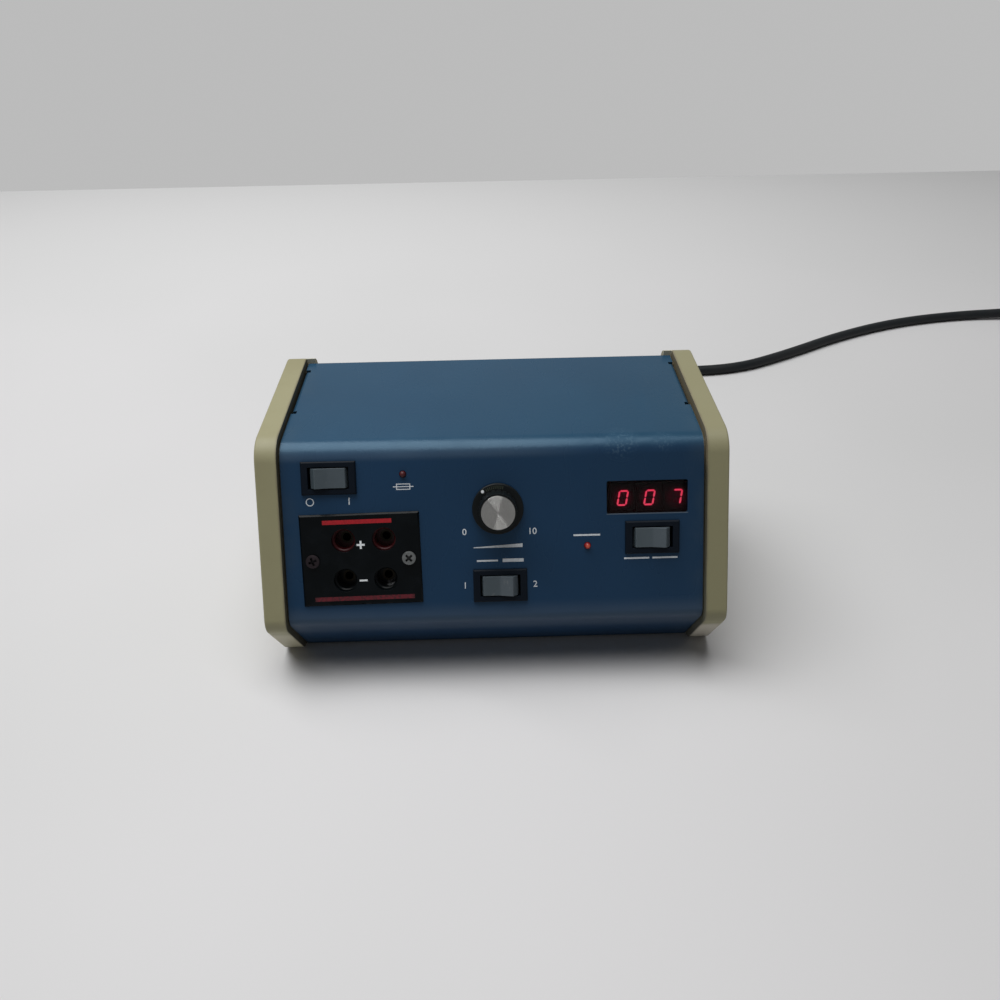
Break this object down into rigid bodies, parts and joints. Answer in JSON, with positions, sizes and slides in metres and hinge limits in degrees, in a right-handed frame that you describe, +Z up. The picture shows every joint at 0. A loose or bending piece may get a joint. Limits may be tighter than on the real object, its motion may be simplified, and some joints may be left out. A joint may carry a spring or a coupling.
{
  "type": "electrophoresis power supply",
  "caption": "Bench high-voltage supply: sloped sheet case between moulded cheeks, rocker switches, knob, red display, banana jacks and a mains lead.",
  "frame": {"origin": "middle of the case's bounding box at the table, lead left out", "axes": "+X to the viewer's right along the case, +Y to the rear panel, +Z up"},
  "size_m": [0.7313, 0.406, 0.1131],
  "materials": {
    "cheek_plastic": "moulded tan plastic, fine satin grain",
    "case_paint": "satin dark blue enamel on sheet steel",
    "chassis_paint": "satin dark grey enamel on sheet steel",
    "steel": "zinc-plated steel",
    "rubber": "black rubber",
    "black_plastic": "black moulded nylon",
    "gloss_black": "glossy black moulded plastic",
    "grey_plastic": "grey moulded rocker",
    "white_plastic": "white inlay",
    "spun_aluminium": "spun aluminium",
    "red_plastic": "dark red moulded liner",
    "brass": "nickel-free machined brass",
    "red_filter": "clear deep red acrylic",
    "red_lens": "diffused red lens",
    "circuit_board": "green solder mask on glass fibre",
    "capacitor_sleeve": "shrunk blue sleeve",
    "core_steel": "varnished steel laminations",
    "winding_tape": "taped copper winding",
    "cord_rubber": "black three-core flex",
    "fuse_glass": "glass fuse tube"
  },
  "bodies": {
    "case": {"left_cheek": "cheek_plastic", "right_cheek": "cheek_plastic", "cheek_screws": "steel", "case_wrap": "case_paint", "chassis": "chassis_paint", "feet": "rubber", "power_switch": "black_plastic", "power_terminals": "brass", "range_switch": "black_plastic", "range_terminals": "brass", "meter_switch": "black_plastic", "meter_terminals": "brass", "potentiometer": "steel", "pot_washer": "steel", "pot_nut": "steel", "output_block": "gloss_black", "output_screws": "steel", "red_liners": "red_plastic", "black_liners": "gloss_black", "jack_contacts": "brass", "jack_nuts": "brass", "display_window": "red_filter", "display_digits": "red_lens", "display_board": "circuit_board", "display_posts": "steel", "fuse_led": "red_lens", "overcurrent_led": "red_lens", "led_clips": "black_plastic", "main_board": "circuit_board", "board_posts": "steel", "filter_capacitors": "capacitor_sleeve", "rectifier": "gloss_black", "transformer_core": "core_steel", "transformer_winding": "winding_tape", "transformer_bolts": "steel", "heat_sink": "spun_aluminium", "power_transistors": "gloss_black", "fuse_holder": "gloss_black", "strain_relief": "cord_rubber", "cord_lead": "cord_rubber", "cord_coil": "cord_rubber", "cord_run": "cord_rubber", "plug_body": "cord_rubber", "plug_blades": "brass"},
    "power_rocker": {"power_rocker": "grey_plastic"},
    "range_rocker": {"range_rocker": "grey_plastic"},
    "meter_rocker": {"meter_rocker": "grey_plastic"},
    "knob": {"knob_body": "black_plastic", "knob_cap": "spun_aluminium", "knob_dot": "white_plastic", "set_screw": "steel", "pot_shaft": "steel"},
    "fuse_cap": {"fuse_cap": "gloss_black", "fuse": "fuse_glass"}
  },
  "joints": [
    {"name": "power_rocker_tilt", "type": "hinge", "parent": "case", "child": "power_rocker", "pos_m": [-0.0765, -0.02869, 0.09569], "axis": [0, 0.4827, 0.8758], "range_deg": [-18, 0]},
    {"name": "range_rocker_tilt", "type": "hinge", "parent": "case", "child": "range_rocker", "pos_m": [0.0023, -0.05432, 0.04918], "axis": [0, 0.4827, 0.8758], "range_deg": [0, 18]},
    {"name": "meter_rocker_tilt", "type": "hinge", "parent": "case", "child": "meter_rocker", "pos_m": [0.0745, -0.04394, 0.06801], "axis": [0, 0.4827, 0.8758], "range_deg": [0, 18]},
    {"name": "voltage_knob_turn", "type": "hinge", "parent": "case", "child": "knob", "pos_m": [0.0019, -0.03953, 0.08328], "axis": [0, -0.8758, 0.4827], "range_deg": [-190, 110]},
    {"name": "fuse_cap_turn", "type": "hinge", "parent": "case", "child": "fuse_cap", "pos_m": [0.038, 0.05899, 0.0268], "axis": [0, 1, 0], "range_deg": [0, 90]}
  ]
}
